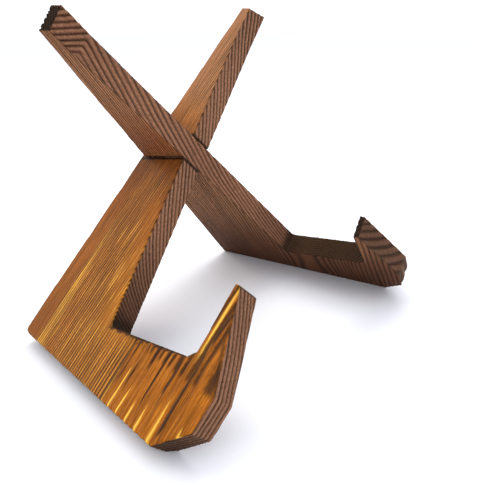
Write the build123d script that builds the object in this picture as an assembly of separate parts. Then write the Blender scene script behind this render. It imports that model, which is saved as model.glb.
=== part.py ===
# Book display stand: two mirror-image boards, each cut to a J from one thickness of softwood.
# The boards lean towards each other, cross as an X and lock by a half-lap slot in each arm.
# The book stands on the two feet, between the arms and the raised lips.
from build123d import *
from math import cos, radians, sin
import os

# Driving dimensions, in millimetres and degrees
boardThickness = 14.0
boardTilt = 44.0          # lean of each board from upright
toeOut = 9.0              # each foot points this far outwards
heelHalfSpan = 90.3       # middle of the stand to a board's upper heel arris

# The J outline: x runs forwards from the heel, y runs up the board
soleLength = 123.0
toe = [(138.5, 14.5), (139.0, 30.5)]          # top of the toe's bevel, foot of the lip's slope
lipTop = [(120.2, 75.8), (116.8, 76.1)]
lipFoot = (118.1, 39.1)
armFoot = (60.9, 29.5)
armTaper = 0.258          # how far the arm's front edge draws back for each millimetre up
tipBevelStart = 212.0
tipBevelTaper = 0.209
backLean = 0.0137
outlineTop = 245.0        # the arms run past their ends here and are then sawn off

heelRadius = 3.6
armFootRadius = 2.5
lipFootChamfer = 3.6
lipTopRadius = 1.1

# Where each arm is sawn off, up the board, on its upper and its lower face
leftArmEnd = (230.0, 236.0)
rightArmEnd = (232.6, 231.4)

soleFlat = 3.0            # height planed off the lower sole arris, so that the foot rests on a flat
lapSetback = 18.5         # heel edge of the arm to the bottom of the slots
slotClearance = 0.3       # on each side of the other board, and at each slot's bottom
toolSize = 600.0          # cutting solids are larger than the stand


def boardFrame():
    # Frame of the left board: x forwards along the sole, y up the board, z out of the upper face.
    tilt, toeAngle = radians(boardTilt), radians(toeOut)
    forwards = Vector(-sin(toeAngle), -cos(toeAngle), 0)
    across = Vector(cos(toeAngle), -sin(toeAngle), 0)
    outwards = Vector(0, 0, sin(tilt)) - across * cos(tilt)
    return Plane(origin=(-heelHalfSpan, 0, 0), x_dir=forwards, z_dir=outwards)


def armFront(height):
    return armFoot[0] - armTaper * (height - armFoot[1])


def nearest(face, point):
    return face.vertices().sort_by_distance(Vector(*point))[0]


def outline():
    bevelStart = (armFront(tipBevelStart), tipBevelStart)
    tipFront = (bevelStart[0] - tipBevelTaper * (outlineTop - tipBevelStart), outlineTop)
    tipBack = (backLean * outlineTop, outlineTop)
    corners = [(0, 0), (soleLength, 0), *toe, *lipTop, lipFoot, armFoot, bevelStart, tipFront, tipBack]
    face = make_face(Polyline(*corners, close=True))
    face = fillet(nearest(face, (0, 0)), heelRadius)
    face = fillet(nearest(face, armFoot), armFootRadius)
    face = chamfer(nearest(face, lipFoot), lipFootChamfer)
    for corner in lipTop:
        face = fillet(nearest(face, corner), lipTopRadius)
    return face


def slab(frame, spare):
    # The space that a board takes up, widened by spare on both faces.
    thickness = boardThickness + 2 * spare
    block = Box(toolSize, toolSize, thickness, align=(Align.CENTER, Align.CENTER, Align.MAX))
    return frame * Pos(0, 0, spare) * block


def armEndWaste(armEnd):
    # What the saw takes off above a cut from one height on the upper face to another on the lower.
    upper, lower = armEnd
    corners = [(upper, 0), (lower, -boardThickness), (toolSize, -boardThickness), (toolSize, 0)]
    edgeOn = Plane(origin=(0, 0, 0), x_dir=(0, 1, 0), z_dir=(1, 0, 0))
    profile = make_face(edgeOn * Polyline(*corners, close=True))
    return extrude(profile, toolSize / 2, both=True)


def leftBlank(armEnd):
    # A board in place on the left, before its slot is cut.
    frame = boardFrame()
    board = extrude(outline(), -boardThickness) - armEndWaste(armEnd)
    floorHeight = soleFlat * cos(radians(boardTilt)) - boardThickness * sin(radians(boardTilt))
    ground = Box(toolSize, toolSize, toolSize, align=(Align.CENTER, Align.CENTER, Align.MAX))
    return frame * board - Pos(0, 0, floorHeight) * ground


def lapTool(direction):
    # Half of space from the slots' bottoms, opening along the crossing line: 1 to the front, -1 to the back.
    frame = boardFrame()
    rightNormal = Vector(-frame.z_dir.X, frame.z_dir.Y, frame.z_dir.Z)
    line = frame.z_dir.cross(rightNormal).normalized()
    line = line if line.Y < 0 else line * -1
    tilt, toeAngle = radians(boardTilt), radians(toeOut)
    middle = boardThickness / 2
    rise = heelHalfSpan + lapSetback * sin(toeAngle) - middle * cos(tilt) * cos(toeAngle)
    height = rise / (sin(tilt) * cos(toeAngle))
    centre = frame.from_local_coords(Vector(lapSetback, height, -middle))
    start = centre - line * direction * slotClearance / 2
    face = Plane(origin=start, x_dir=(1, 0, 0), z_dir=line * direction)
    return face * Box(toolSize, toolSize, toolSize, align=(Align.CENTER, Align.CENTER, Align.MIN))


def makeBoards():
    left = leftBlank(leftArmEnd)
    right = mirror(leftBlank(rightArmEnd), Plane.YZ)
    leftSpace = slab(boardFrame(), slotClearance)
    rightSpace = mirror(leftSpace, Plane.YZ)
    left = left - (rightSpace & lapTool(1))
    right = right - (leftSpace & lapTool(-1))
    box = Compound(children=[left.solid(), right.solid()]).bounding_box()
    home = Pos(-(box.min.X + box.max.X) / 2, -(box.min.Y + box.max.Y) / 2, -box.min.Z)
    return {"left_board": home * left.solid(), "right_board": home * right.solid()}


def main():
    os.makedirs("parts", exist_ok=True)
    for name, board in makeBoards().items():
        export_step(board, f"parts/{name}.step")


main()
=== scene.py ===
import math
import bmesh
import bpy
from mathutils import Matrix, Vector


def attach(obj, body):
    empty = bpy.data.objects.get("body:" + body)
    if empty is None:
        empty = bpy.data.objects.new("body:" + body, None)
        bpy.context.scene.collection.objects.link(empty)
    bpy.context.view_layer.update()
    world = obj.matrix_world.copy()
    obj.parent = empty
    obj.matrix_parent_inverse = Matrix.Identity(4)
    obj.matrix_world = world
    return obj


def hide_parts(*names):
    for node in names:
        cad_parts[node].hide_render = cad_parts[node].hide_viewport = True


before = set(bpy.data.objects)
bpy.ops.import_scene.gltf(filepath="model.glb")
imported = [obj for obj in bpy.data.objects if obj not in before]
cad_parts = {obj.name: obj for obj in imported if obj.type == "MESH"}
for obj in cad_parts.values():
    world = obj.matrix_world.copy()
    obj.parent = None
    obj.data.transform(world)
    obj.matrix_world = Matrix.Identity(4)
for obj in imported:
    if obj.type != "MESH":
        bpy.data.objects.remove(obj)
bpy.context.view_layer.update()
print("frame loaded:", sorted(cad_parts))


# Helpers that add one node to a tree and give back its output

def feed(tree, socket, value):
    if isinstance(value, bpy.types.NodeSocket):
        tree.links.new(value, socket)
    else:
        socket.default_value = value


def calc(tree, operation, *values):
    made = tree.nodes.new("ShaderNodeMath")
    made.operation = operation
    for socket, value in zip(made.inputs, values):
        feed(tree, socket, value)
    return made.outputs[0]


def vectorCalc(tree, operation, *values):
    made = tree.nodes.new("ShaderNodeVectorMath")
    made.operation = operation
    for socket, value in zip(made.inputs, values):
        feed(tree, socket, value)
    return made.outputs["Value"] if operation == "DOT_PRODUCT" else made.outputs[0]


def scaled(tree, vector, factor):
    made = tree.nodes.new("ShaderNodeVectorMath")
    made.operation = "SCALE"
    feed(tree, made.inputs[0], vector)
    feed(tree, made.inputs["Scale"], factor)
    return made.outputs[0]


def parts(tree, vector):
    made = tree.nodes.new("ShaderNodeSeparateXYZ")
    feed(tree, made.inputs[0], vector)
    return made.outputs[0], made.outputs[1], made.outputs[2]


def joined(tree, x, y, z):
    made = tree.nodes.new("ShaderNodeCombineXYZ")
    for socket, value in zip(made.inputs, (x, y, z)):
        feed(tree, socket, value)
    return made.outputs[0]


def noise(tree, vector, scale=1.0, detail=2.0, roughness=0.5):
    made = tree.nodes.new("ShaderNodeTexNoise")
    feed(tree, made.inputs["Vector"], vector)
    feed(tree, made.inputs["Scale"], scale)
    feed(tree, made.inputs["Detail"], detail)
    feed(tree, made.inputs["Roughness"], roughness)
    return made.outputs["Fac"]


def step(tree, value, low, high, start=0.0, end=1.0):
    made = tree.nodes.new("ShaderNodeMapRange")
    made.interpolation_type = "SMOOTHSTEP"
    sockets = ("Value", "From Min", "From Max", "To Min", "To Max")
    for name, given in zip(sockets, (value, low, high, start, end)):
        feed(tree, made.inputs[name], given)
    return made.outputs[0]


def bump(tree, value, centre, halfWidth):
    # 1 at the centre, 0 at the half width and beyond
    away = calc(tree, "ABSOLUTE", calc(tree, "SUBTRACT", value, centre))
    return step(tree, away, 0.0, halfWidth, 1.0, 0.0)


def product(tree, *values):
    made = values[0]
    for value in values[1:]:
        made = calc(tree, "MULTIPLY", made, value)
    return made


def largest(tree, *values):
    made = values[0]
    for value in values[1:]:
        made = calc(tree, "MAXIMUM", made, value)
    return made


def blend(tree, factor, a, b):
    return calc(tree, "MULTIPLY_ADD", calc(tree, "SUBTRACT", b, a), factor, a)


def centred(tree, value, amount):
    # a 0 to 1 pattern made to swing either side of nothing
    return product(tree, calc(tree, "SUBTRACT", value, 0.5), amount)


def lateWood(tree, ring, low, high):
    # the dark line of each growth ring: 1 in its middle
    phase = calc(tree, "SUBTRACT", calc(tree, "FRACT", ring), 0.5)
    return step(tree, calc(tree, "ABSOLUTE", phase), low, high)


# Camera

cameraSettings = {
    "azimuth": -51.1,
    "elevation": 22.3,
    "distance": 0.330,
    "target": (0.007, -0.0036, 0.0485),
    "focal": 43.1,
    "sensor": 36.0,
    "clipStart": 0.01,
}


def addCamera(s):
    azimuth = math.radians(s["azimuth"])
    elevation = math.radians(s["elevation"])
    level = math.cos(elevation)
    outward = Vector((math.sin(azimuth) * level, -math.cos(azimuth) * level, math.sin(elevation)))
    lens = bpy.data.cameras.new("camera")
    lens.sensor_fit = "HORIZONTAL"
    lens.sensor_width = s["sensor"]
    lens.lens = s["focal"]
    lens.clip_start = s["clipStart"]
    camera = bpy.data.objects.new("camera", lens)
    camera.location = Vector(s["target"]) + outward * s["distance"]
    camera.rotation_euler = (-outward).to_track_quat("-Z", "Y").to_euler()
    bpy.context.collection.objects.link(camera)
    bpy.context.scene.camera = camera


addCamera(cameraSettings)
print("camera placed")


# Floor and light

studioSettings = {
    "floorSize": 6.0,
    "floorColour": (0.848, 0.862, 0.920, 1.0),
    "floorRoughness": 0.9,
    "skyStrength": 1.20,
    "skyColour": (0.975, 0.99, 1.02, 1.0),
    "aim": (0.0, 0.0, 0.07),
    "lamps": {
        "key": {"place": (0.25, 0.40, 1.10), "size": 0.9, "power": 2.4, "colour": (1.0, 0.94, 0.84)},
        "sheen": {"place": (-0.35, 0.95, 0.80), "size": 0.5, "power": 2.6, "colour": (1.0, 0.84, 0.58)},
        "window": {"place": (0.85, 0.25, 0.80), "size": 0.55, "power": 4.2, "colour": (1.0, 0.97, 0.93)},
    },
}


def addLight(name, lamp, aim):
    light = bpy.data.lights.new(name, "AREA")
    light.shape = "DISK"
    light.size = lamp["size"]
    light.energy = lamp["power"]
    light.color = lamp["colour"]
    holder = bpy.data.objects.new(name, light)
    holder.location = lamp["place"]
    holder.rotation_euler = (Vector(aim) - Vector(lamp["place"])).to_track_quat("-Z", "Y").to_euler()
    bpy.context.collection.objects.link(holder)


def addStudio(s):
    half = s["floorSize"] / 2
    corners = [(-half, -half, 0), (half, -half, 0), (half, half, 0), (-half, half, 0)]
    mesh = bpy.data.meshes.new("floor")
    mesh.from_pydata(corners, [], [(0, 1, 2, 3)])
    paint = bpy.data.materials.new("floorPaint")
    paint.use_nodes = True
    shader = paint.node_tree.nodes["Principled BSDF"]
    shader.inputs["Base Color"].default_value = s["floorColour"]
    shader.inputs["Roughness"].default_value = s["floorRoughness"]
    shader.inputs["Specular IOR Level"].default_value = 0.0
    mesh.materials.append(paint)
    floor = bpy.data.objects.new("floor", mesh)
    bpy.context.collection.objects.link(floor)
    for name, lamp in s["lamps"].items():
        addLight(name, lamp, s["aim"])
    world = bpy.data.worlds.new("studio")
    world.use_nodes = True
    sky = world.node_tree.nodes["Background"]
    sky.inputs["Color"].default_value = s["skyColour"]
    sky.inputs["Strength"].default_value = s["skyStrength"]
    bpy.context.scene.world = world
    bpy.context.scene.view_settings.view_transform = "Standard"


addStudio(studioSettings)
print("floor and lights placed")


# Growth rings in a board's own directions, in mm:
# u forwards across the board from the heel, v up it along the grain, n through it from the upper face

boardFrame = {
    "heel": (-0.0903, 0.0713, 0.00757),
    "across": (-0.15643, -0.98769, 0.0),
    "along": (0.68612, -0.10867, 0.71934),
    "through": (0.71048, -0.11253, -0.69466),
    "halfThickness": 7.0,
    "millimetres": 1000.0,      # in a metre
}

ringShape = {
    "seedStep": 37.0,
    "wanderSize": (0.020, 0.008, 0.020),
    "wanderShift": (9.3, 4.1, 2.7),
    "wanderAcross": (1.0, 1.0),         # scale and detail
    "wanderThrough": (1.6, 2.0),
    "sideBlend": (-10.0, 10.0),         # from the arm's side of the pith to the lip's side
    "changeSoftness": 6.0,
    "footBend": 55.0,
    "footBendSoftness": 15.0,
    "footTurn": -0.32,
    "throughTurn": 0.12,
    "footTwist": -0.006,
    "armSide": (95.0, 85.0),
    "tipStart": 215.0,
    "tipSoftness": 0.3,
    "edgeFacing": (0.4, 0.75),
    "endFacing": (0.45, 0.85),
    "grooveSpan": (0.18, 0.48),
    "fullDepthDensity": 0.5,            # rings closer than this are cut less deeply
    "roughTip": (211.0, 219.0),
    "roughLip": (119.0, 126.0),
    "roughLipShare": 0.5,
    "pitSize": (0.55, 0.12, 0.55),
    "pitDetail": 3.0,
    "pitSpan": (0.5, 0.8),
    "pitShare": 0.6,
}

treeNumbers = ("Pith across", "Pith depth", "Inner density", "Arm density", "Lip density", "Change radius",
               "Wander", "Lean", "Edge spacing", "Edge upright", "Tip fold",
               "Face groove", "Edge groove", "End groove", "Tip groove", "Inset", "Seed")


def boardMatrix(mirrored):
    flip = Matrix.Scale(-1, 4, Vector((1, 0, 0))) if mirrored else Matrix.Identity(4)
    turn = Matrix.Identity(4)
    for column, name in enumerate(("across", "along", "through", "heel")):
        for row in range(3):
            turn[row][column] = boardFrame[name][row]
    return flip @ turn


def hingeBend(tree, value, softness):
    return calc(tree, "SQRT", calc(tree, "MULTIPLY_ADD", value, value, softness * softness))


def hinge(tree, value, softness):
    # nothing below zero, the value itself above, with a soft bend between
    return calc(tree, "MULTIPLY", calc(tree, "ADD", value, hingeBend(tree, value, softness)), 0.5)


def hingeSlope(tree, value, softness):
    return calc(tree, "MULTIPLY_ADD", calc(tree, "DIVIDE", value, hingeBend(tree, value, softness)), 0.5, 0.5)


def ringNumbers(tree, given, place, r):
    # ring numbers on the broad faces and on the narrow edges, and the rings per mm
    u, v, n = parts(tree, place)
    seed = joined(tree, calc(tree, "MULTIPLY", given["Seed"], r["seedStep"]), 0.0, 0.0)
    slow = vectorCalc(tree, "ADD", vectorCalc(tree, "MULTIPLY", place, r["wanderSize"]), seed)
    slower = vectorCalc(tree, "ADD", slow, r["wanderShift"])
    wanderAcross = centred(tree, noise(tree, slow, *r["wanderAcross"]), given["Wander"])
    wanderThrough = centred(tree, noise(tree, slower, *r["wanderThrough"]), given["Wander"])
    pith = calc(tree, "MULTIPLY_ADD", v, given["Lean"], given["Pith across"])
    du = calc(tree, "ADD", calc(tree, "SUBTRACT", u, pith), wanderAcross)
    dn = calc(tree, "ADD", calc(tree, "SUBTRACT", n, given["Pith depth"]), wanderThrough)
    squares = calc(tree, "ADD", calc(tree, "MULTIPLY", du, du), calc(tree, "MULTIPLY", dn, dn))
    radius = calc(tree, "SQRT", squares)
    # one spacing near the pith and another past the change radius, on the arm's side and on the lip's
    outer = blend(tree, step(tree, du, *r["sideBlend"]), given["Arm density"], given["Lip density"])
    more = calc(tree, "SUBTRACT", outer, given["Inner density"])
    change = calc(tree, "SUBTRACT", radius, given["Change radius"])
    past = product(tree, hinge(tree, change, r["changeSoftness"]), more)
    ring = calc(tree, "MULTIPLY_ADD", radius, given["Inner density"], past)
    slope = hingeSlope(tree, change, r["changeSoftness"])
    density = calc(tree, "MULTIPLY_ADD", slope, more, given["Inner density"])
    # on the narrow edges the rings stand more upright towards the foot, and fold back at a tip
    low = hinge(tree, calc(tree, "SUBTRACT", r["footBend"], v), r["footBendSoftness"])
    upright = calc(tree, "MULTIPLY_ADD", low, r["footTurn"], calc(tree, "MULTIPLY", n, r["throughTurn"]))
    upright = calc(tree, "MULTIPLY_ADD", calc(tree, "MULTIPLY", n, low), r["footTwist"], upright)
    upright = product(tree, upright, given["Edge upright"], step(tree, u, *r["armSide"]))
    ringEdge = calc(tree, "MULTIPLY_ADD", ring, given["Edge spacing"], upright)
    tip = hinge(tree, calc(tree, "SUBTRACT", v, r["tipStart"]), r["tipSoftness"])
    ringEdge = calc(tree, "MULTIPLY_ADD", tip, given["Tip fold"], ringEdge)
    return ring, ringEdge, density


def brushedDepth(tree, given, place, normal, rings, r):
    # soft wood is brushed out along each dark line, in mm below the sawn face
    u, v = parts(tree, place)[:2]
    ring, ringEdge, density = rings
    acrossAbs, alongAbs, throughAbs = parts(tree, vectorCalc(tree, "ABSOLUTE", normal))
    onEdge = step(tree, acrossAbs, *r["edgeFacing"])
    coarse = calc(tree, "MINIMUM", calc(tree, "DIVIDE", r["fullDepthDensity"], density), 1.0)
    grooveFace = product(tree, lateWood(tree, ring, *r["grooveSpan"]), coarse)
    groove = blend(tree, onEdge, grooveFace, lateWood(tree, ringEdge, *r["grooveSpan"]))
    depth = blend(tree, onEdge, given["Face groove"], given["Edge groove"])
    depth = blend(tree, step(tree, alongAbs, *r["endFacing"]), depth, given["End groove"])
    roughLip = product(tree, step(tree, u, *r["roughLip"]), r["roughLipShare"])
    atTip = calc(tree, "MAXIMUM", step(tree, v, *r["roughTip"]), roughLip)
    atTip = product(tree, atTip, calc(tree, "SUBTRACT", 1.0, throughAbs))
    depth = calc(tree, "MULTIPLY_ADD", atTip, given["Tip groove"], depth)
    carve = calc(tree, "MULTIPLY_ADD", groove, depth, given["Inset"])
    pits = noise(tree, vectorCalc(tree, "MULTIPLY", place, r["pitSize"]), 1.0, r["pitDetail"])
    pitDepth = product(tree, depth, r["pitShare"])
    return calc(tree, "MULTIPLY_ADD", step(tree, pits, *r["pitSpan"]), pitDepth, carve)


def grainTree():
    tree = bpy.data.node_groups.new("brushedGrain", "GeometryNodeTree")
    tree.interface.new_socket("Geometry", in_out="INPUT", socket_type="NodeSocketGeometry")
    tree.interface.new_socket("Wood", in_out="INPUT", socket_type="NodeSocketMaterial")
    for name in treeNumbers:
        tree.interface.new_socket(name, in_out="INPUT", socket_type="NodeSocketFloat")
    tree.interface.new_socket("Geometry", in_out="OUTPUT", socket_type="NodeSocketGeometry")
    given = tree.nodes.new("NodeGroupInput").outputs
    position = tree.nodes.new("GeometryNodeInputPosition").outputs[0]
    place = scaled(tree, position, boardFrame["millimetres"])
    normal = tree.nodes.new("GeometryNodeInputNormal").outputs[0]
    rings = ringNumbers(tree, given, place, ringShape)
    carve = brushedDepth(tree, given, place, normal, rings, ringShape)
    stored = (("ring", "FLOAT", rings[0]), ("ringEdge", "FLOAT", rings[1]),
              ("board", "FLOAT_VECTOR", place), ("side", "FLOAT_VECTOR", normal))
    flow = given["Geometry"]
    for name, kind, value in stored:
        store = tree.nodes.new("GeometryNodeStoreNamedAttribute")
        store.data_type = kind
        store.domain = "POINT"
        feed(tree, store.inputs["Geometry"], flow)
        feed(tree, store.inputs["Name"], name)
        feed(tree, store.inputs["Value"], value)
        flow = store.outputs[0]
    shift = tree.nodes.new("GeometryNodeSetPosition")
    feed(tree, shift.inputs["Geometry"], flow)
    inwards = product(tree, carve, -1 / boardFrame["millimetres"])
    feed(tree, shift.inputs["Offset"], scaled(tree, normal, inwards))
    real = tree.nodes.new("GeometryNodeRealizeInstances")
    feed(tree, real.inputs[0], shift.outputs[0])
    paint = tree.nodes.new("GeometryNodeSetMaterial")
    feed(tree, paint.inputs["Geometry"], real.outputs[0])
    feed(tree, paint.inputs["Material"], given["Wood"])
    feed(tree, tree.nodes.new("NodeGroupOutput").inputs[0], paint.outputs[0])
    return tree


grain = grainTree()
print("grain tree made")


# A board: the CAD shape made fine, with its rings cut in

meshSettings = {
    "voxel": 0.00042,
    "alongStretch": 2.5,        # faces are this much longer along the grain
    "mergeGap": 1e-6,
}


def evaluated(holder, name):
    graph = bpy.context.evaluated_depsgraph_get()
    live = holder.evaluated_get(graph)
    mesh = bpy.data.meshes.new_from_object(live, preserve_all_data_layers=True, depsgraph=graph)
    mesh.name = name
    return mesh


def fineBlank(node, matrix, s):
    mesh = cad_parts[node].data.copy()
    mesh.transform(matrix.inverted())
    tool = bmesh.new()
    tool.from_mesh(mesh)
    bmesh.ops.remove_doubles(tool, verts=tool.verts, dist=s["mergeGap"])
    bmesh.ops.recalc_face_normals(tool, faces=tool.faces)
    tool.to_mesh(mesh)
    tool.free()
    mesh.materials.clear()
    squeeze = Matrix.Diagonal((1, 1 / s["alongStretch"], 1, 1))
    mesh.transform(squeeze)
    holder = bpy.data.objects.new(node + "_blank", mesh)
    bpy.context.collection.objects.link(holder)
    remesh = holder.modifiers.new("fine", "REMESH")
    remesh.mode = "VOXEL"
    remesh.voxel_size = s["voxel"]
    remesh.use_smooth_shade = True
    fine = evaluated(holder, node + "_fine")
    bpy.data.objects.remove(holder)
    fine.transform(squeeze.inverted())
    fine.update()
    return fine


def carvedBoard(node, name, mirrored, wood, numbers):
    matrix = boardMatrix(mirrored)
    holder = bpy.data.objects.new(name, fineBlank(node, matrix, meshSettings))
    bpy.context.collection.objects.link(holder)
    modifier = holder.modifiers.new("grain", "NODES")
    modifier.node_group = grain
    sockets = {item.name: item.identifier for item in grain.interface.items_tree if item.in_out == "INPUT"}
    modifier[sockets["Wood"]] = wood
    for label, value in numbers.items():
        modifier[sockets[label]] = value
    holder.update_tag()
    carved = evaluated(holder, name)
    holder.modifiers.clear()
    holder.data = carved
    carved.transform(matrix)
    if matrix.determinant() < 0:
        carved.flip_normals()
    for face in carved.polygons:
        face.use_smooth = True
    carved.update()
    print(name, "faces:", len(carved.polygons))
    return holder


# Torched pine. Places are u, v and n as above. A pair says where a mark starts and where it is full,
# and two more numbers are its strength there; under a name with Around it is a middle and a half width.

woodNoises = {
    "fibre": {"size": (2.4, 0.05, 2.4), "detail": 4.0, "roughness": 0.6, "span": (0.3, 0.7)},
    "grit": {"size": (1.5, 0.55, 1.5), "detail": 3.0, "roughness": 0.75},
    "patch": {"size": (0.05, 0.018, 0.05), "detail": 2.0, "roughness": 0.5},
    "mottle": {"size": (0.28, 0.10, 0.28), "detail": 4.0, "roughness": 0.65, "span": (0.35, 0.65)},
    "tear": {"size": (0.30, 0.035, 0.30), "detail": 2.0, "roughness": 0.5},
    "strand": {"size": (1.5, 0.032, 1.5), "detail": 2.0, "roughness": 0.6, "span": (0.34, 0.66)},
}

finish = {
    "upperFacing": (-0.35, -0.75),
    "lowerFacing": (0.35, 0.75),
    "endFacing": (0.45, 0.75),
    "crestFacing": (0.97, 0.80),
    "crestChar": 0.5,
    "lineEnd": 0.47,
    "ringStrength": (0.74, 1.0),        # the palest and the darkest ring
    "pithWidth": 10.0,
    "pithCalm": 0.40,
    "patchTone": (0.3, 0.7, 0.88, 1.10),
    "gritTone": (0.25, 0.75, 0.84, 1.14),
    "strandTone": (0.0, 1.0, 0.74, 1.20),
    "edgeTone": 0.97,
    "roughEdge": 0.66,
    "roughFace": 0.40,
    "roughLine": 0.12,
    "specular": 0.15,
    "specularTint": (1.0, 0.74, 0.42, 1.0),
    "lineRelief": -0.7,
    "fibreRelief": 0.35,
    "reliefStrength": 0.6,
    "reliefDistance": 0.00022,
}


def colourMix(tree, factor, a, b, mode="MIX"):
    made = tree.nodes.new("ShaderNodeMix")
    made.data_type = "RGBA"
    made.blend_type = mode
    made.clamp_factor = True
    colours = [socket for socket in made.inputs if socket.type == "RGBA"]
    feed(tree, made.inputs[0], factor)
    feed(tree, colours[0], a)
    feed(tree, colours[1], b)
    return next(socket for socket in made.outputs if socket.type == "RGBA")


def toned(tree, colour, tone):
    return colourMix(tree, 1.0, colour, joined(tree, tone, tone, tone), "MULTIPLY")


def attribute(tree, name):
    made = tree.nodes.new("ShaderNodeAttribute")
    made.attribute_type = "GEOMETRY"
    made.attribute_name = name
    return made


def woodNoise(tree, board, name):
    given = woodNoises[name]
    size = vectorCalc(tree, "MULTIPLY", board, given["size"])
    made = noise(tree, size, 1.0, given["detail"], given["roughness"])
    return step(tree, made, *given["span"]) if "span" in given else made


def ringStrength(tree, ring):
    # each ring's late wood burns to its own depth
    made = tree.nodes.new("ShaderNodeTexWhiteNoise")
    made.noise_dimensions = "1D"
    feed(tree, made.inputs["W"], calc(tree, "FLOOR", ring))
    return step(tree, made.outputs["Value"], 0.0, 1.0, *finish["ringStrength"])


slotShadeMarks = {
    "solidShare": 0.45,
    "inner": (6.5, 6.9),
    "reach": 60.0,
}


def slotContactShade(tree, s, w):
    # painted contact shade, in the char colour, where this board touches the other one, found from the depth
    # in the other board
    m = slotShadeMarks
    half = boardFrame["halfThickness"]
    change = boardMatrix(True).inverted() @ boardMatrix(False)
    otherDepth = vectorCalc(tree, "DOT_PRODUCT", w["board"], tuple(change[2][:3]))
    otherDepth = calc(tree, "ADD", otherDepth, change[2][3] * boardFrame["millimetres"])
    offMiddle = calc(tree, "ABSOLUTE", calc(tree, "SUBTRACT", otherDepth, half))
    outer = step(tree, offMiddle, half + s["slotShadeWidth"], half + m["solidShare"] * s["slotShadeWidth"])
    onEdge = blend(tree, w["acrossAbs"], 1.0, s["edgeSlotShade"])
    inner = step(tree, offMiddle, *m["inner"])
    return product(tree, outer, inner, bump(tree, w["v"], s["crossing"], m["reach"]), onEdge)


rearMarks = {
    "stripSoftness": 1.2,
    "streakStart": (-0.4, 0.5),
    "streakLean": -0.09,
    "streakWidth": 9.5,
    "streakFade": (1.5, -4.5),
    "streakUp": (100.0, 40.0),
    "threadDensity": 0.62,
    "threadWidth": 0.40,
    "threadTone": (0.0, 1.0, 0.30, 1.0),
    "calmUp": (72.0, 112.0),
    "calmTop": (170.0, 145.0, 0.35, 1.0),
    "high": (140.0, 172.0),
    "crossingShadowReach": 38.0,
    "glowDeep": (17.0, 5.0),
    "glowLow": (18.0, 36.0),
    "glowTop": (122.0, 98.0),
    "paleAround": (0.30, 0.20),
    "highlightFleckStrand": (0.86, 1.0),
    "highlightFleckAcross": (12.0, 16.0),
    "highlightFleckTop": (150.0, 110.0),
    "heelSide": (46.0, 24.0),
    "lowArm": (48.0, 92.0),
    "lowArmTop": (140.0, 118.0),
    "dimTop": (165.0, 140.0),
    "shares": {"strip": 0.7, "pale": 0.55, "glow": 0.8, "highlightFleck": 0.42, "high": 0.75, "crossing": 0.75,
               "lowArm": 1.5, "dim": 0.46},
    "quiet": {"strip": 0.9, "calm": 0.7, "glow": 0.75},
}


def rearOfFace(tree, s, w, fromEdge):
    # the narrow-ringed part of the upper face: heel strip, a gold streak and gold flecks painted as
    # highlights, fine lines, the arm, and a painted shadow where the other board crosses
    c = s["face"]
    m = rearMarks
    share = m["shares"]
    u, v, fibre = w["u"], w["v"], w["fibre"]
    strip = step(tree, u, s["streakFrom"], s["streakFrom"] - m["stripSoftness"])
    # painted highlight: a gold streak of thin threads in from the heel strip
    streakEnd = calc(tree, "MULTIPLY_ADD", v, m["streakLean"], s["streakFrom"] + m["streakWidth"])
    highlightStreak = product(tree, step(tree, u, *(s["streakFrom"] + away for away in m["streakStart"])),
                     step(tree, calc(tree, "SUBTRACT", u, streakEnd), *m["streakFade"]),
                     step(tree, v, *m["streakUp"]))
    thread = calc(tree, "FRACT", calc(tree, "MULTIPLY", u, m["threadDensity"]))
    thread = step(tree, bump(tree, thread, 0.5, m["threadWidth"]), *m["threadTone"])
    calm = product(tree, step(tree, v, *m["calmUp"]), step(tree, v, *m["calmTop"]))
    glow = product(tree, step(tree, fromEdge, *m["glowDeep"]), step(tree, v, *m["glowLow"]),
                   step(tree, v, *m["glowTop"]))
    pale = bump(tree, calc(tree, "FRACT", w["ring"]), *m["paleAround"])
    # painted highlight: gold flecks along the strands
    highlightFleck = product(tree, step(tree, w["strand"], *m["highlightFleckStrand"]), step(tree, u, *m["highlightFleckAcross"]),
                    step(tree, v, *m["highlightFleckTop"]), share["highlightFleck"])
    # painted shadow: the other board's arm shades this face where the boards cross
    crossing = product(tree, bump(tree, v, s["crossing"], m["crossingShadowReach"]), share["crossing"])
    band = colourMix(tree, fibre, c["deep"], c["light"])
    band = colourMix(tree, product(tree, pale, share["pale"]), band, c["pale"])
    band = colourMix(tree, product(tree, strip, share["strip"]), band, c["strip"])
    band = colourMix(tree, product(tree, glow, share["glow"]), band, c["glow"])
    band = colourMix(tree, highlightFleck, band, c["goldHighlight"])
    band = colourMix(tree, product(tree, highlightStreak, thread), band, c["goldHighlight"])
    highWood = colourMix(tree, fibre, c["highDeep"], c["highLight"])
    band = colourMix(tree, product(tree, step(tree, v, *m["high"]), share["high"]), band, highWood)
    # the painted crossing shadow, in the burnt and shade colours
    band = colourMix(tree, crossing, band, colourMix(tree, fibre, c["burnt"], c["shade"]))
    quiet = largest(tree, product(tree, strip, m["quiet"]["strip"]), product(tree, calm, m["quiet"]["calm"]),
                    product(tree, glow, m["quiet"]["glow"]))
    lines = product(tree, w["line"], calc(tree, "SUBTRACT", 1.0, quiet))
    rear = colourMix(tree, lines, band, c["line"])
    lowArm = product(tree, step(tree, v, *m["lowArm"]), step(tree, v, *m["lowArmTop"]), share["lowArm"])
    dim = product(tree, largest(tree, step(tree, u, *m["heelSide"]), lowArm), step(tree, v, *m["dimTop"]),
                  share["dim"])
    return colourMix(tree, dim, rear, colourMix(tree, 1.0, rear, c["dim"], "MULTIPLY"))


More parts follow.
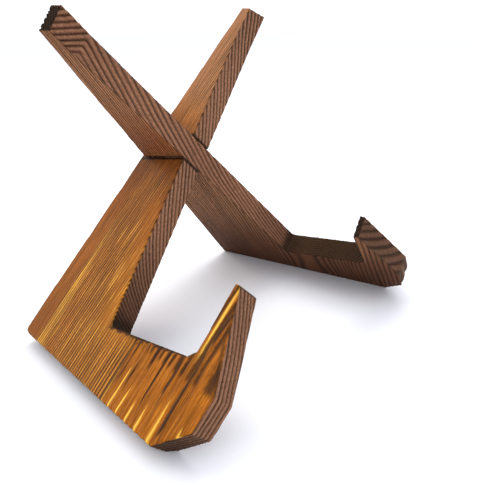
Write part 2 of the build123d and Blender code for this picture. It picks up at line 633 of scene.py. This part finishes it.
frontMarks = {
    "fibreShare": 0.10,
    "burntAround": (0.5, 0.19),
    "burntUp": 30.0,
    "burntRise": 0.006,
    "burntTear": (0.54, 0.66),
    "burntAcross": (131.0, 125.0),
    "highlightLine": 0.86,
    "highlightWidth": (26.0, 0.0, 0.04, 0.15),
    "highlightFall": -0.012,
    "highlightTear": (0.34, 0.48),
    "highlightTop": (34.0, 12.0),
    "mottleShare": 0.35,
    "lipFront": (-0.415, 151.6),        # lean and start of the lip's front arris
    "rimAround": (1.5, 1.6),
    "rimUpAround": (46.0, 22.0),
    "rimTear": (0.42, 0.52),
    "rimShare": 0.9,
    "lipStreakWidth": 1.3,
    "lipStreakUp": (36.0, 46.0),
}


def frontOfFace(tree, s, w):
    # the wide-ringed front of the foot: burnt streaks from its top, and painted gold highlight streaks from
    # its bottom
    c = s["face"]
    m = frontMarks
    u, v, fibre, tear = w["u"], w["v"], w["fibre"], w["tear"]
    phase = calc(tree, "ADD", centred(tree, fibre, m["fibreShare"]), w["ring"])
    phase = calc(tree, "FRACT", calc(tree, "MULTIPLY", phase, s["streakShare"]))
    rising = calc(tree, "MULTIPLY_ADD", calc(tree, "MINIMUM", v, m["burntUp"]), m["burntRise"], tear)
    burnt = product(tree, bump(tree, phase, *m["burntAround"]), step(tree, rising, *m["burntTear"]),
                    step(tree, u, *m["burntAcross"]))
    # painted highlight: bright gold lines along the rings, near the foot's bottom
    highlightLine = bump(tree, phase, m["highlightLine"], step(tree, v, *m["highlightWidth"]))
    falling = calc(tree, "MULTIPLY_ADD", v, m["highlightFall"], tear)
    brightHighlight = product(tree, highlightLine, step(tree, falling, *m["highlightTear"]), step(tree, v, *m["highlightTop"]))
    fromLipFront = calc(tree, "SUBTRACT", calc(tree, "MULTIPLY_ADD", v, *m["lipFront"]), u)
    rim = product(tree, bump(tree, fromLipFront, *m["rimAround"]), bump(tree, v, *m["rimUpAround"]),
                  step(tree, tear, *m["rimTear"]), m["rimShare"])
    lipStreak = product(tree, bump(tree, u, s["lipStreak"], m["lipStreakWidth"]),
                        step(tree, v, *m["lipStreakUp"]))
    front = colourMix(tree, fibre, c["frontDeep"], c["frontLight"])
    front = colourMix(tree, product(tree, w["mottle"], m["mottleShare"]), front, c["frontDeep"])
    front = colourMix(tree, burnt, front, c["burnt"])
    front = colourMix(tree, brightHighlight, front, c["goldHighlight"])
    front = colourMix(tree, rim, front, c["burnt"])
    return colourMix(tree, lipStreak, front, c["goldHighlight"])


upperMarks = {
    "armFront": (-0.258, 68.5),         # lean and start of the arm's front arris
    "footTop": (0.168, 19.27),          # rise and start of the foot's top arris
    "ragged": (5.0, 1.3),               # height of its waves, and how far down their middle is
    "raggedSoftness": (0.4, -0.5),
    "raggedFrom": (58.0, 62.0),
    "raggedTo": (118.0, 114.0),
    "raggedShare": 0.9,
    "toothDepth": (1.5, 0.7),
    "toothFrom": (28.0, 32.0),
    "toothTo": (215.0, 205.0),
    "toothShare": 0.85,
    "changeSoftness": 0.6,
    "changeLine": 1.5,
    "changeShare": 0.8,
}


def upperFace(tree, s, w):
    c = s["face"]
    m = upperMarks
    u, v = w["u"], w["v"]
    fromEdge = calc(tree, "SUBTRACT", calc(tree, "MULTIPLY_ADD", v, *m["armFront"]), u)
    rear = rearOfFace(tree, s, w, fromEdge)
    front = frontOfFace(tree, s, w)
    change = step(tree, u, s["frontFrom"] - m["changeSoftness"], s["frontFrom"] + m["changeSoftness"])
    face = colourMix(tree, change, rear, front)
    # a ragged burnt line along the foot's top, and a toothed one where the edge's lines cut the arm's arris
    belowTop = calc(tree, "SUBTRACT", calc(tree, "MULTIPLY_ADD", u, *m["footTop"]), v)
    raggedTop = calc(tree, "ADD", centred(tree, w["tear"], m["ragged"][0]), m["ragged"][1])
    ragged = product(tree, step(tree, calc(tree, "SUBTRACT", belowTop, raggedTop), *m["raggedSoftness"]),
                     step(tree, u, *m["raggedFrom"]), step(tree, u, *m["raggedTo"]), m["raggedShare"])
    teeth = product(tree, step(tree, fromEdge, *m["toothDepth"]), step(tree, v, *m["toothFrom"]),
                    step(tree, v, *m["toothTo"]), w["teeth"], m["toothShare"])
    face = colourMix(tree, largest(tree, ragged, teeth), face, c["burnt"])
    changeLine = product(tree, bump(tree, u, s["frontFrom"], m["changeLine"]), m["changeShare"])
    return colourMix(tree, changeLine, face, c["burnt"])


edgeMarks = {
    "cornerUp": (85.0, 30.0),
    "cornerAcross": (95.0, 75.0),
    "blotUp": (39.0, 32.0),
    "blotAround": (58.0, 14.0),
    "toeUp": (16.0, 4.0),
    "toeAcross": (105.0, 120.0),
    "lipAcross": (95.0, 105.0),
    "lipRear": (-0.4, -0.7),
    "endUp": (45.0, 62.0),
}


def narrowEdges(tree, s, w):
    # dark towards the inner corner, with a dark blot in that corner, a dark toe, and a charred rear of the
    # lip
    e = s["edge"]
    m = edgeMarks
    u, v = w["u"], w["v"]
    band = colourMix(tree, w["fibre"], e["deep"], e["light"])
    corner = product(tree, step(tree, v, *m["cornerUp"]), step(tree, u, *m["cornerAcross"]), e["cornerDark"])
    band = colourMix(tree, corner, band, e["corner"])
    edge = colourMix(tree, product(tree, w["lineEdge"], e["lineStrength"]), band, e["line"])
    blot = product(tree, step(tree, v, *m["blotUp"]), bump(tree, u, *m["blotAround"]), e["blot"])
    edge = colourMix(tree, blot, edge, e["char"])
    toe = product(tree, step(tree, v, *m["toeUp"]), step(tree, u, *m["toeAcross"]), e["toeDark"])
    edge = colourMix(tree, toe, edge, e["char"])
    edge = toned(tree, edge, step(tree, u, *m["lipAcross"], 1.0, e["lipTone"]))
    lipRear = product(tree, step(tree, w["sideAcross"], *m["lipRear"]), step(tree, u, *m["lipAcross"]))
    return colourMix(tree, lipRear, edge, e["char"])


def endWood(tree, s, w):
    e = s["edge"]
    top = colourMix(tree, step(tree, w["v"], *edgeMarks["endUp"]), e["footTop"], e["end"])
    return colourMix(tree, w["line"], top, e["char"])


underMarks = {
    "warmAround": (150.0, 42.0),
    "warmShare": 0.7,
    "footShadeUp": (115.0, 25.0),
}


def lowerFace(tree, s, w):
    f = s["under"]
    m = underMarks
    band = colourMix(tree, w["fibre"], f["deep"], f["light"])
    warm = product(tree, bump(tree, w["v"], *m["warmAround"]), m["warmShare"])
    band = colourMix(tree, warm, band, f["warm"])
    # painted shade: the lower face darkens towards the foot
    foot = product(tree, step(tree, w["v"], *m["footShadeUp"]), f["footShade"])
    band = colourMix(tree, foot, band, f["foot"])
    return colourMix(tree, product(tree, w["line"], f["lineStrength"]), band, f["line"])


def woodReadings(tree, s):
    # what the colours and the relief are worked out from
    board = attribute(tree, "board").outputs["Vector"]
    side = attribute(tree, "side").outputs["Vector"]
    ring = attribute(tree, "ring").outputs["Fac"]
    ringEdge = attribute(tree, "ringEdge").outputs["Fac"]
    u, v = parts(tree, board)[:2]
    sideAcross, sideAlong, sideThrough = parts(tree, side)
    acrossAbs, alongAbs, throughAbs = parts(tree, vectorCalc(tree, "ABSOLUTE", side))
    w = {name: woodNoise(tree, board, name) for name in woodNoises}
    wobble = centred(tree, w["grit"], s["wobble"])
    teeth = lateWood(tree, calc(tree, "ADD", ringEdge, wobble), s["lineStart"], finish["lineEnd"])
    line = lateWood(tree, calc(tree, "ADD", ring, wobble), s["lineStart"], finish["lineEnd"])
    overPith = bump(tree, u, s["grain"]["Pith across"], finish["pithWidth"])
    line = product(tree, line, ringStrength(tree, ring), blend(tree, overPith, 1.0, finish["pithCalm"]))
    w.update({
        "board": board, "u": u, "v": v, "ring": ring, "line": line,
        "teeth": teeth, "lineEdge": product(tree, teeth, ringStrength(tree, ringEdge)),
        "sideAcross": sideAcross, "acrossAbs": acrossAbs,
        "upper": step(tree, sideThrough, *finish["upperFacing"]),
        "lower": step(tree, sideThrough, *finish["lowerFacing"]),
        "end": step(tree, sideAlong, *finish["endFacing"]),
        "crest": step(tree, largest(tree, acrossAbs, alongAbs, throughAbs), *finish["crestFacing"]),
    })
    return w


def torchedPine(name, s):
    paint = bpy.data.materials.new(name)
    paint.use_nodes = True
    tree = paint.node_tree
    shader = tree.nodes["Principled BSDF"]
    w = woodReadings(tree, s)
    char = s["edge"]["char"]
    colour = colourMix(tree, w["lower"], narrowEdges(tree, s, w), lowerFace(tree, s, w))
    colour = colourMix(tree, w["end"], colour, endWood(tree, s, w))
    colour = colourMix(tree, product(tree, w["crest"], finish["crestChar"]), colour, char)
    # the upper faces get a more orange, saturated colour set than the lower faces and edges: painted warm
    # light on the lit side, under the grain marks
    colour = colourMix(tree, w["upper"], colour, upperFace(tree, s, w))
    # painted contact shade along the slot, in the char colour
    colour = colourMix(tree, slotContactShade(tree, s, w), colour, char)
    strandTone = step(tree, w["strand"], *finish["strandTone"])
    tone = product(tree, step(tree, w["patch"], *finish["patchTone"]),
                   step(tree, w["grit"], *finish["gritTone"]),
                   blend(tree, w["acrossAbs"], strandTone, finish["edgeTone"]))
    feed(tree, shader.inputs["Base Color"], toned(tree, colour, tone))
    gloss = blend(tree, w["upper"], finish["roughEdge"], finish["roughFace"])
    feed(tree, shader.inputs["Roughness"], calc(tree, "MULTIPLY_ADD", w["line"], finish["roughLine"], gloss))
    shader.inputs["Specular IOR Level"].default_value = finish["specular"]
    shader.inputs["Specular Tint"].default_value = finish["specularTint"]
    lineNow = blend(tree, w["acrossAbs"], w["line"], w["lineEdge"])
    fibres = product(tree, calc(tree, "ADD", w["fibre"], w["grit"]), finish["fibreRelief"])
    relief = tree.nodes.new("ShaderNodeBump")
    relief.inputs["Strength"].default_value = finish["reliefStrength"]
    relief.inputs["Distance"].default_value = finish["reliefDistance"]
    height = calc(tree, "ADD", product(tree, lineNow, finish["lineRelief"]), fibres)
    feed(tree, relief.inputs["Height"], height)
    feed(tree, shader.inputs["Normal"], relief.outputs[0])
    return paint


# Left board: its foot and lip stand nearest the camera

leftSettings = {
    "grain": {
        "Pith across": 145.0, "Pith depth": -45.0, "Change radius": 76.0,
        "Inner density": 0.41, "Arm density": 0.61, "Lip density": 0.41,
        "Wander": 5.0, "Lean": 0.05, "Edge spacing": 0.95, "Edge upright": 1.0, "Tip fold": 0.0,
        "Face groove": 0.14, "Edge groove": 0.36, "End groove": 0.50, "Tip groove": 0.20, "Inset": 0.03,
        "Seed": 1.0,
    },
    "wobble": 0.30,
    "lineStart": 0.10,
    "streakFrom": 14.2,
    "streakShare": 0.46,
    "frontFrom": 82.3,
    "lipStreak": 120.6,
    "crossing": 122.0,
    "slotShadeWidth": 2.2,
    "edgeSlotShade": 1.0,
    "face": {
        "deep": (0.24, 0.076, 0.010, 1), "light": (0.50, 0.172, 0.020, 1), "pale": (0.72, 0.31, 0.050, 1),
        "line": (0.022, 0.007, 0.003, 1), "strip": (0.25, 0.078, 0.010, 1), "glow": (0.38, 0.125, 0.008, 1),
        "goldHighlight": (1.0, 0.54, 0.070, 1), "dim": (0.66, 0.50, 0.40, 1), "shade": (0.26, 0.078, 0.014, 1),
        "highDeep": (0.22, 0.095, 0.042, 1), "highLight": (0.47, 0.212, 0.097, 1),
        "frontDeep": (0.20, 0.050, 0.004, 1), "frontLight": (0.54, 0.175, 0.010, 1),
        "burnt": (0.022, 0.008, 0.004, 1),
    },
    "edge": {
        "deep": (0.19, 0.086, 0.048, 1), "light": (0.36, 0.178, 0.104, 1), "line": (0.014, 0.006, 0.004, 1),
        "char": (0.019, 0.010, 0.007, 1), "corner": (0.085, 0.036, 0.022, 1),
        "footTop": (0.045, 0.022, 0.013, 1), "end": (0.030, 0.016, 0.010, 1),
        "lineStrength": 0.9, "cornerDark": 0.90, "blot": 0.95, "toeDark": 0.6, "lipTone": 1.0,
    },
    "under": {
        "deep": (0.25, 0.100, 0.040, 1), "light": (0.58, 0.25, 0.100, 1), "line": (0.022, 0.009, 0.006, 1),
        "foot": (0.055, 0.024, 0.013, 1), "warm": (0.24, 0.062, 0.012, 1),
        "lineStrength": 0.95, "footShade": 0.8,
    },
}

leftWood = torchedPine("torchedPineLeft", leftSettings)
leftBoard = carvedBoard("left_board", "leftBoardCarved", False, leftWood, leftSettings["grain"])
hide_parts("left_board")
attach(leftBoard, "left_board")
print("left board carved")


# Right board: its arm passes in front at the crossing

rightSettings = {
    "grain": {
        "Pith across": 75.0, "Pith depth": -27.0, "Change radius": 56.0,
        "Inner density": 0.72, "Arm density": 0.72, "Lip density": 0.38,
        "Wander": 4.0, "Lean": 0.0, "Edge spacing": 0.74, "Edge upright": 0.0, "Tip fold": -0.37,
        "Face groove": 0.14, "Edge groove": 0.42, "End groove": 0.60, "Tip groove": 0.75, "Inset": 0.03,
        "Seed": 2.0,
    },
    "wobble": 0.30,
    "lineStart": 0.12,
    "streakFrom": 31.0,
    "streakShare": 0.46,
    "frontFrom": 92.0,
    "lipStreak": 126.0,
    "crossing": 122.0,
    "slotShadeWidth": 1.6,
    "edgeSlotShade": 0.0,
    "face": dict(leftSettings["face"], goldHighlight=(0.84, 0.42, 0.035, 1)),
    "edge": {
        "deep": (0.18, 0.078, 0.043, 1), "light": (0.34, 0.160, 0.092, 1), "line": (0.022, 0.009, 0.006, 1),
        "char": (0.019, 0.010, 0.007, 1), "corner": (0.060, 0.026, 0.016, 1),
        "footTop": (0.058, 0.029, 0.016, 1), "end": (0.026, 0.014, 0.010, 1),
        "lineStrength": 0.85, "cornerDark": 0.40, "blot": 0.9, "toeDark": 0.5, "lipTone": 0.46,
    },
    "under": {
        "deep": (0.19, 0.080, 0.034, 1), "light": (0.46, 0.205, 0.088, 1), "line": (0.022, 0.009, 0.006, 1),
        "foot": (0.098, 0.036, 0.018, 1), "warm": (0.24, 0.062, 0.012, 1),
        "lineStrength": 0.95, "footShade": 0.95,
    },
}

rightWood = torchedPine("torchedPineRight", rightSettings)
rightBoard = carvedBoard("right_board", "rightBoardCarved", True, rightWood, rightSettings["grain"])
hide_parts("right_board")
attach(rightBoard, "right_board")
print("right board carved")
